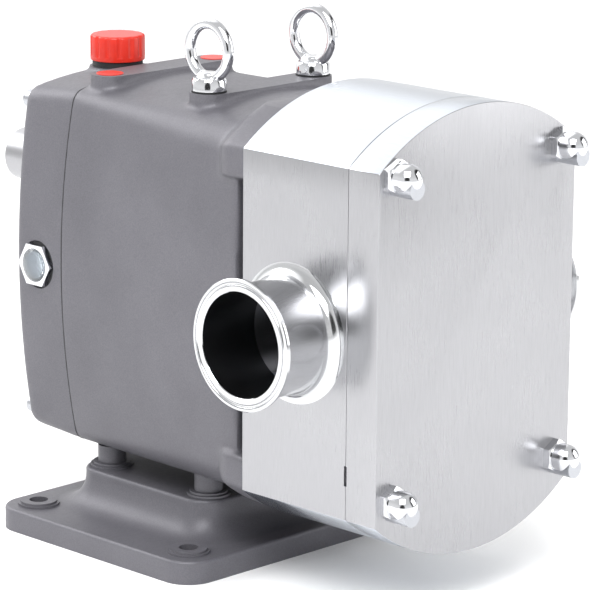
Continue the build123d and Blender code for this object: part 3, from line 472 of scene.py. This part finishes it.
def mirror_stainless():
    """Electropolished stainless: a near mirror with the faintest ripple and hairline scuffs."""
    material, tree, shader, place = new_material("polished_stainless_steel")
    ripple = add_node(tree, "ShaderNodeTexNoise", {"Vector": place, "Scale": per_mm(7), "Detail": 2.0})
    scuff = add_node(tree, "ShaderNodeTexNoise", {"Vector": place, "Scale": per_mm(1.2), "Detail": 4.0})
    rough = add_node(tree, "ShaderNodeMapRange", {"Value": scuff.outputs["Fac"], "To Min": 0.03, "To Max": 0.14})
    tree.links.new(rough.outputs["Result"], shader.inputs["Roughness"])
    bump = add_bump(tree, ripple.outputs["Fac"], 0.15, 0.0001)
    tree.links.new(bump.outputs["Normal"], shader.inputs["Normal"])
    shader.inputs["Base Color"].default_value = linear("#dcdde0")
    shader.inputs["Metallic"].default_value = 1.0
    return material


def moulded_plastic():
    """Glossy injection moulded polypropylene, a clear orange red with a very slight moulded unevenness."""
    material, tree, shader, place = new_material("red_polypropylene")
    cloud = add_node(tree, "ShaderNodeTexNoise", {"Vector": place, "Scale": per_mm(9), "Detail": 2.0})
    tone = add_node(tree, "ShaderNodeValToRGB", {"Fac": cloud.outputs["Fac"]})
    set_ramp(tone, [(0.3, linear("#c42110")), (0.7, linear("#cd2815"))])
    tree.links.new(tone.outputs["Color"], shader.inputs["Base Color"])
    fine = add_node(tree, "ShaderNodeTexNoise", {"Vector": place, "Scale": per_mm(0.8), "Detail": 2.0})
    rough = add_node(tree, "ShaderNodeMapRange", {"Value": fine.outputs["Fac"], "To Min": 0.28, "To Max": 0.42})
    tree.links.new(rough.outputs["Result"], shader.inputs["Roughness"])
    bump = add_node(tree, "ShaderNodeBump", {"Height": cloud.outputs["Fac"], "Strength": 0.2, "Distance": 0.0002})
    tree.links.new(bump.outputs["Normal"], shader.inputs["Normal"])
    shader.inputs["IOR"].default_value = 1.49
    return material


def nitrile_rubber():
    """Black nitrile rubber with a dry matt skin."""
    material, tree, shader, place = new_material("black_nitrile_rubber")
    skin = add_node(tree, "ShaderNodeTexNoise", {"Vector": place, "Scale": per_mm(0.7), "Detail": 3.0})
    tone = add_node(tree, "ShaderNodeValToRGB", {"Fac": skin.outputs["Fac"]})
    set_ramp(tone, [(0.3, linear("#121214")), (0.7, linear("#1d1d20"))])
    tree.links.new(tone.outputs["Color"], shader.inputs["Base Color"])
    bump = add_node(tree, "ShaderNodeBump", {"Height": skin.outputs["Fac"], "Strength": 0.3, "Distance": 0.0001})
    tree.links.new(bump.outputs["Normal"], shader.inputs["Normal"])
    shader.inputs["Roughness"].default_value = 0.62
    shader.inputs["IOR"].default_value = 1.52
    return material


def machined_steel():
    """Turned and ground steel, with fine machining rings softened to a satin shine."""
    return brushed_stainless("machined_steel", "#b9bbc0", 0.22, 0.38, (1, 1, 1), line=0.6)


def clear_glass():
    """Domed borosilicate lens, almost clear with a cool tint."""
    material, tree, shader, place = new_material("sight_lens_glass")
    faint = add_node(tree, "ShaderNodeTexNoise", {"Vector": place, "Scale": per_mm(6), "Detail": 1.0})
    rough = add_node(tree, "ShaderNodeMapRange", {"Value": faint.outputs["Fac"], "To Min": 0.02, "To Max": 0.07})
    tree.links.new(rough.outputs["Result"], shader.inputs["Roughness"])
    shader.inputs["Base Color"].default_value = linear("#d9e2ea")
    shader.inputs["Transmission Weight"].default_value = 0.85
    shader.inputs["IOR"].default_value = 1.47
    return material


ENAMEL = painted_casting()
SATIN_STEEL = brushed_stainless("linished_stainless_steel", "#acacaf", 0.24, 0.36, (1, 1, 0.03))
# arch steel: a finer lengthwise polish, with a brighter, bluer base colour that is a painted sheen of the bright
# surround
BARREL_STEEL_PAINTED_SHEEN = brushed_stainless("barrel_polished_stainless_painted_sheen", "#c9ced6", 0.17, 0.27, (1, 0.04, 1))
MIRROR_STEEL = mirror_stainless()
TUBE_STEEL = brushed_stainless(
    "polished_stainless_tube", "#cfd0d2", 0.08, 0.17, (0.05, 1, 1), line=0.5, strength=0.05
)
MACHINED_STEEL = machined_steel()
RED_PLASTIC = moulded_plastic()
RUBBER = nitrile_rubber()
GLASS = clear_glass()
# dark steel inside the port tubes: painted shade in the bore, which is the same stainless as the tube
BORE_STEEL_PAINTED_SHADE = brushed_stainless("painted_shade_in_stainless_tube_bore", "#4c4d50", 0.3, 0.45, (0.1, 1, 1))

SLOT_MATERIALS = {
    "grey_cast": ENAMEL,
    "brushed_stainless": SATIN_STEEL,
    "polished_stainless": MIRROR_STEEL,
    "steel": MACHINED_STEEL,
    "bearing_steel": MACHINED_STEEL,
    "black_rubber": RUBBER,
    "red_plastic": RED_PLASTIC,
    "sight_lens": GLASS,
}


def dress_cad_nodes():
    """Every CAD node that stays visible takes the finish of its slot."""
    slots = {row["node"]: row["material_slot"] for row in frame["record"]["subparts"]}
    for name, piece in frame["nodes"].items():
        material = SLOT_MATERIALS[slots[name]]
        if not piece.material_slots:
            piece.data.materials.append(material)
        for place in piece.material_slots:
            place.material = material


dress_cad_nodes()


# ---------------------------------------------------------------- castings
def share_rings(front, rear, start, stop, reach, steps):
    """Outlines from one station to another, each a share between two sections, run on by reach at the far end."""
    stations = [start + (stop + reach - start) * i / steps for i in range(steps + 1)]
    return [body_outline(y, *between(front, rear, (y - start) / (stop - start))) for y in stations]


def soften(piece, voxel, passes):
    """Rounds every edge and inner corner the way sand casting does."""
    apply_modifier(piece, "REMESH", mode="VOXEL", voxel_size=voxel)
    apply_modifier(piece, "SMOOTH", factor=0.5, iterations=passes)


def make_gear_case():
    """Cast case: bulging body, lugs to the rotor case above and below, two strips with bosses on top."""
    case = lofted("gear_case_casting", share_rings(FRONT, JOINT, body_front, body_joint, TRIM, 12))
    lug_stations = ((-TRIM, 1.0), (19.0, 1.0), (27.0, 4.5), (36.0, 13.0))
    lugs = lofted("lugs", [case_outline(case_rear + y, inset) for y, inset in lug_stations])
    middle = block(
        "middle", (-1.5 * case_side, case_rear - 9, axis_height - LUG_REACH),
        (1.5 * case_side, case_rear + 50, axis_height + LUG_REACH),
    )
    combine(lugs, middle, "DIFFERENCE")
    combine(case, lugs, "UNION")
    for y in (-boss_y, boss_y):
        strip_low = (-boss_x, y - BOSS_RADIUS, boss_top - 30)
        strip = block("strip", strip_low, (boss_x, y + BOSS_RADIUS, boss_top + TRIM))
        combine(case, strip, "UNION")
        for x in (-boss_x, boss_x):
            combine(case, rod("boss", BOSS_RADIUS, (x, y, boss_top - 16), (x, y, boss_top + TRIM)), "UNION")
    soften(case, 2.0, 10)
    for point, normal in (((0, case_rear, 0), -Y), ((0, body_joint, 0), Y), ((0, 0, boss_top), Z)):
        cut_plane(case, point, normal)
    for x in (-boss_x, boss_x):
        for y in (-boss_y, boss_y):
            seat = rod("post_seat", BOSS_RADIUS, (x, y, 0), (x, y, post_top))
            combine(case, seat, "DIFFERENCE")
        pocket = rod("plug_pocket", PLUG_POCKET, (x, boss_y, boss_top - PLUG_DEPTH), (x, boss_y, boss_top + 2))
        combine(case, pocket, "DIFFERENCE")
    finished(case, "pump", ENAMEL, ["gear_case"])


def make_rear_cover():
    """Cast end cover with a rounded rear edge, filler boss, sight glass seat and seal pocket."""
    front = body_joint + COVER_GASKET
    round_start = rear_face - REAR_EDGE
    rings = [body_outline(front - TRIM, *JOINT)]
    for i in range(1, 6):
        y = front + (round_start - front) * i / 5
        rings.append(body_outline(y, *between(JOINT, REAR, i / 5)))
    for degrees in range(10, 91, 10):
        a = radians(degrees)
        y = round_start + REAR_EDGE * sin(a)
        rings.append(body_outline(y, *REAR, wall=REAR_EDGE * (1 - cos(a))))
    cover = lofted("rear_cover_casting", rings)
    boss = rod("filler_boss", FILLER_BOSS, filler - 14 * Z, filler + TRIM * Z)
    combine(cover, boss, "UNION")
    for x in (-SCREW_X, SCREW_X):
        for z in (-SCREW_Z, SCREW_Z):
            pad_start, pad_end = (x, rear_face - 22, axis_height + z), (x, rear_face - 0.5, axis_height + z)
            combine(cover, rod("screw_pad", SCREW_PAD, pad_start, pad_end), "UNION")
    soften(cover, 1.9, 6)
    for point, normal in (((0, front, 0), -Y), ((0, 0, filler.z), Z), ((0, rear_face, 0), Y)):
        cut_plane(cover, point, normal)
    seat_start, seat_end = (sight_seat_x, sight_y, axis_height), (sight_seat_x - 20, sight_y, axis_height)
    combine(cover, rod("sight_seat", SIGHT_SEAT, seat_start, seat_end), "DIFFERENCE")
    pocket_start, pocket_end = (0, rear_face - SEAL_DEPTH, upper_z), (0, rear_face + 5, upper_z)
    combine(cover, rod("seal_pocket", SEAL_POCKET, pocket_start, pocket_end), "DIFFERENCE")
    finished(cover, "pump", ENAMEL, ["rear_cover"])


# ---------------------------------------------------------------- rotor case and cover
def pry_slots():
    """Two shallow slots at the cover joint, one on each side, for levering the cover off."""
    pieces = []
    for side in (-1, 1):
        x = sorted((side * (case_side - 3), side * (case_side + 3)))
        pieces.append(block("pry_slot", (x[0], case_front - 1.3, 98), (x[1], case_front + 1.3, 112)))
    return pieces


def make_rotor_case():
    """Milled block with two chamber bores and two port passages, every outer edge lightly broken."""
    case = lofted("rotor_case_block", [case_outline(case_front, 0), case_outline(case_rear, 0)])
    apply_modifier(case, "BEVEL", width=0.5, segments=2, limit_method="ANGLE", angle_limit=radians(25))
    for z in (lower_z, upper_z):
        chamber_rear = case_front + CHAMBER_DEPTH
        chamber = rod("chamber", CHAMBER_RADIUS, (0, case_front - 2, z), (0, chamber_rear, z), 128)
        combine(case, chamber, "DIFFERENCE")
        shaft_hole = rod("shaft_hole", SHAFT_HOLE, (0, chamber_rear - 8, z), (0, case_rear + 2, z))
        combine(case, shaft_hole, "DIFFERENCE")
    passage = rod("passage", PORT_BORE, (-120, port_y, axis_height), (120, port_y, axis_height), 128)
    combine(case, passage, "DIFFERENCE")
    for slot in pry_slots():
        combine(case, slot, "DIFFERENCE")
    finished(case, "pump", SATIN_STEEL, ["rotor_case"], smooth=20)
    # the arches take the brighter steel, whose colour is a painted sheen
    second_finish_or_painted_light(case, BARREL_STEEL_PAINTED_SHEEN, on_arch_painted_sheen)


def make_front_cover():
    """Thick cover plate to the same outline, with a bright broken front edge."""
    cover = lofted("front_cover_plate", [case_outline(cover_front), case_outline(case_front - 0.1)])
    apply_modifier(cover, "BEVEL", width=0.7, segments=3, limit_method="ANGLE", angle_limit=radians(25))
    for slot in pry_slots():
        combine(cover, slot, "DIFFERENCE")
    finished(cover, "pump", SATIN_STEEL, ["front_cover"], smooth=20)
    # the arches take the brighter steel, whose colour is a painted sheen
    second_finish_or_painted_light(cover, BARREL_STEEL_PAINTED_SHEEN, on_arch_painted_sheen)


def bore_painted_shade_mask(face):
    """Inner wall of a port tube, which takes the darker steel as painted shade."""
    out_y, out_z = face.center.y - port_y * MM, face.center.z - axis_height * MM
    return hypot(out_y, out_z) < (PORT_BORE + 0.1) * MM


def make_ports():
    """Clamp ferrules on short tubes, their feet flared out on to the rotor case."""
    reach = -port_low.x - case_side
    shoulder = reach - PORT_EDGE - (PORT_RIM - PORT_TUBE) * FERRULE_SLOPE
    profile = [(PORT_BORE, 0.0), (PORT_TUBE + PORT_FLARE, 0.0)]
    profile += arc((PORT_TUBE + PORT_FLARE, PORT_FLARE), PORT_FLARE, -90, -180, 12)
    profile += [(PORT_TUBE, shoulder - 1.5), (PORT_TUBE + 0.9, shoulder + 0.3)]
    profile += [(PORT_RIM - 0.4, reach - PORT_EDGE - 0.1), (PORT_RIM, reach - 2.5)]
    profile += [(PORT_RIM, reach - 0.5), (PORT_RIM - 0.5, reach)]
    profile += arc((CLAMP_GROOVE, reach), CLAMP_GROOVE_RADIUS, 0, -180, 9)
    profile += [(PORT_BORE + 0.4, reach), (PORT_BORE, reach - 0.4), (PORT_BORE, 0.0)]
    for name, side in (("left_port", -1), ("right_port", 1)):
        port = turned(f"{name}_ferrule", profile, (side * case_side, port_y, axis_height), (side, 0, 0), 128)
        finished(port, "pump", TUBE_STEEL, [name], smooth=30)
        # bore walls take the darker steel as painted shade
        second_finish_or_painted_light(port, BORE_STEEL_PAINTED_SHADE, bore_painted_shade_mask)


# ---------------------------------------------------------------- fastenings
def make_dome_nuts():
    """Four dome nuts: a chamfered hexagon under a smooth dome, electropolished."""
    deselect()
    bpy.ops.mesh.primitive_cylinder_add(
        vertices=6, radius=NUT_FLATS / sqrt(3), depth=NUT_HEX, location=(0, 0, NUT_HEX / 2)
    )
    hexagon = named("hexagon")
    apply_modifier(hexagon, "BEVEL", width=0.35, segments=3)
    profile = [(0, 0), (11.2, 0), (12.9, 0.9), (12.9, 10.7), (10.9, 12.02), (0, 12.02)]
    combine(hexagon, turned("chamfer", profile, (0, 0, 0), Z), "INTERSECT")
    dome = [(0, 11), (NUT_DOME, 11), (NUT_DOME, 17.3)] + arc((0, 17.3), NUT_DOME, 0, 90, 14)[1:]
    nut = join([hexagon, turned("dome", dome, (0, 0, 0), Z)], "dome_nut")
    nut.data.transform(Matrix.Rotation(radians(90), 4, "X"))
    nuts = []
    for x in (-STUD_X, STUD_X):
        for z in (-STUD_Z, STUD_Z):
            place = Matrix.Translation((x, cover_front, axis_height + z))
            nuts.append(copied(nut, "nut", place))
    bpy.data.objects.remove(nut, do_unlink=True)
    finished(join(nuts, "dome_nut_set"), "pump", MIRROR_STEEL, ["dome_nuts"], smooth=30)


def make_eye_bolts():
    """Forged eye bolts: a round ring flowing into a collar with a flat turned rim."""
    seat = boss_top + EYE_WASHER
    for name, x in (("left_eye_bolt", -boss_x), ("right_eye_bolt", boss_x)):
        deselect()
        bpy.ops.mesh.primitive_torus_add(
            major_radius=EYE_MAJOR, minor_radius=EYE_MINOR, major_segments=96, minor_segments=32
        )
        ring = named("ring")
        turn = Matrix.Translation((x, -boss_y, eye_ring_z)) @ Matrix.Rotation(radians(90), 4, "Y")
        ring.data.transform(turn)
        neck = [(0, 4), (9.5, 4), (9.3, 9.5), (7.2, 11.2), (5.6, 13.5), (0, 13.5)]
        combine(ring, turned("neck", neck, (x, -boss_y, seat), Z), "UNION")
        soften(ring, 0.75, 7)
        collar = [(0, 0), (11.6, 0), (12.25, 0.6), (12.25, 7.6), (11.2, 9.2), (8.6, 10), (0, 10)]
        bolt = join([ring, turned("collar", collar, (x, -boss_y, seat), Z)], f"{name}_forging")
        finished(bolt, "pump", MIRROR_STEEL, [name], smooth=35)


# ---------------------------------------------------------------- filler cap
def make_filler_cap():
    """Screw cap moulded with gripping flutes over a plain flange, its top edge rounded."""
    around = 12 * CAP_FLUTES
    top = cap_height
    # height on the cap, step from its radius, share of the flute depth
    levels = [(0.0, -0.4, 0), (0.4, 0, 0), (CAP_FLANGE, 0, 0), (CAP_FLANGE + 0.2, 0, 0.8), (CAP_FLANGE + 1, 0, 1)]
    levels += [(top - 2, 0, 1)]
    levels += [(top - 2 + 2 * sin(a), -2 * (1 - cos(a)), 1 - sin(a) * 0.4) for a in (pi / 8, pi / 4, 3 * pi / 8)]
    levels += [(top, -2.2, 0.4), (top - 0.01, -6.0, 0)]
    rings = []
    for rise, step, flute in levels:
        ring = []
        for i in range(around):
            angle = 2 * pi * i / around
            valley = max(0.0, cos(CAP_FLUTES * angle)) ** 1.5
            radius = CAP_RADIUS + step - flute * valley * 1.1
            ring.append(Vector((filler.x + radius * cos(angle), filler.y + radius * sin(angle), cap_base + rise)))
        rings.append(ring)
    cap = lofted("filler_cap_moulding", rings)
    finished(cap, "filler_cap", RED_PLASTIC, ["filler_cap"], smooth=30)


make_gear_case()
make_rear_cover()
make_rotor_case()
make_front_cover()
make_ports()
make_dome_nuts()
make_eye_bolts()
make_filler_cap()


# ---------------------------------------------------------------- studio
def make_studio():
    """Pale seamless floor, one large soft light above, a softer fill, and a pale surround."""
    deselect()
    bpy.ops.mesh.primitive_circle_add(vertices=128, radius=12, fill_type="NGON", location=(0, 0, 0))
    floor = named("studio_floor")
    bpy.ops.object.transform_apply(location=True, rotation=True, scale=True)
    paper, tree, shader, place = new_material("pale_studio_paper")
    mottle = add_node(tree, "ShaderNodeTexNoise", {"Vector": place, "Scale": 3.0, "Detail": 2.0})
    tone = add_node(tree, "ShaderNodeValToRGB", {"Fac": mottle.outputs["Fac"]})
    set_ramp(tone, [(0.3, linear("#fbfbfb")), (0.7, linear("#fdfdfd"))])
    tree.links.new(tone.outputs["Color"], shader.inputs["Base Color"])
    shader.inputs["Roughness"].default_value = 0.9
    floor.data.materials.append(paper)
    world = bpy.data.worlds.new("studio")
    bpy.context.scene.world = world
    world.use_nodes = True
    tree = world.node_tree
    place = add_node(tree, "ShaderNodeTexCoord")
    height = add_node(tree, "ShaderNodeSeparateXYZ", {"Vector": place.outputs["Generated"]})
    shade = add_node(tree, "ShaderNodeValToRGB", {"Fac": height.outputs["Z"]})
    set_ramp(shade, [(0.0, grey(1.0)), (0.12, grey(1.0)), (0.45, grey(0.8)), (1.0, grey(0.75))])
    level = shade.outputs["Color"]
    # soft cards in the surround: direction, cosines of where the card begins and is full, and its brightness
    cards = [
        ((0.74, -0.56, 0.37), (0.80, 0.90), 0.03),
        ((-0.80, -0.58, 0.12), (0.93, 0.965), 0.05),
        ((0.10, 0.80, 0.59), (0.70, 0.90), 1.75),
    ]
    for direction, (begin, full), brightness in cards:
        facing = add_node(tree, "ShaderNodeVectorMath", {0: place.outputs["Generated"]}, operation="DOT_PRODUCT")
        facing.inputs[1].default_value = Vector(direction).normalized()
        share = add_node(
            tree, "ShaderNodeMapRange", {"Value": facing.outputs["Value"], "From Min": begin, "From Max": full},
            interpolation_type="SMOOTHSTEP",
        )
        mixed = add_node(tree, "ShaderNodeMix", {"Factor": share.outputs["Result"]}, data_type="RGBA")
        tree.links.new(level, mixed.inputs["A"])
        mixed.inputs["B"].default_value = grey(brightness)
        level = mixed.outputs["Result"]
    tree.links.new(level, tree.nodes["Background"].inputs["Color"])
    tree.nodes["Background"].inputs["Strength"].default_value = 1.0
    lights = [
        ("key_softbox", (-1.2, -1.0, 1.9), 1.6, 60.0),
        ("fill_softbox", (1.8, -1.6, 1.0), 1.6, 22.0),
        ("back_softbox", (-0.6, 2.0, 1.6), 1.4, 24.0),
    ]
    for name, place, size, power in lights:
        light = bpy.data.lights.new(name, "AREA")
        light.shape = "SQUARE"
        light.size = size
        light.energy = power
        lamp = bpy.data.objects.new(name, light)
        bpy.context.collection.objects.link(lamp)
        lamp.location = place
        lamp.rotation_euler = (Vector((0, -0.06, 0.2)) - Vector(place)).to_track_quat("-Z", "Y").to_euler()


def make_camera():
    """Long lens, a little above the ports, looking at the left and the front of the pump."""
    azimuth, elevation, roll = radians(-45.16), radians(13.31), radians(0.383)
    target = Vector((-0.17988, -0.2618, 0.25276))
    distance = 2.15684
    back = Vector((sin(azimuth) * cos(elevation), -cos(azimuth) * cos(elevation), sin(elevation)))
    right = Vector((cos(azimuth), sin(azimuth), 0))
    up = back.cross(right)
    right, up = cos(roll) * right + sin(roll) * up, cos(roll) * up - sin(roll) * right
    data = bpy.data.cameras.new("camera")
    data.sensor_width = 36.0
    data.lens = 201.99
    data.shift_x = 0.01487
    data.shift_y = -0.0103
    data.clip_end = 50
    camera = bpy.data.objects.new("camera", data)
    bpy.context.collection.objects.link(camera)
    axes = Matrix((right, up, back)).transposed().to_4x4()
    camera.matrix_world = Matrix.Translation(target + back * distance) @ axes
    bpy.context.scene.camera = camera


make_studio()
make_camera()
bpy.context.scene.view_settings.view_transform = "Standard"
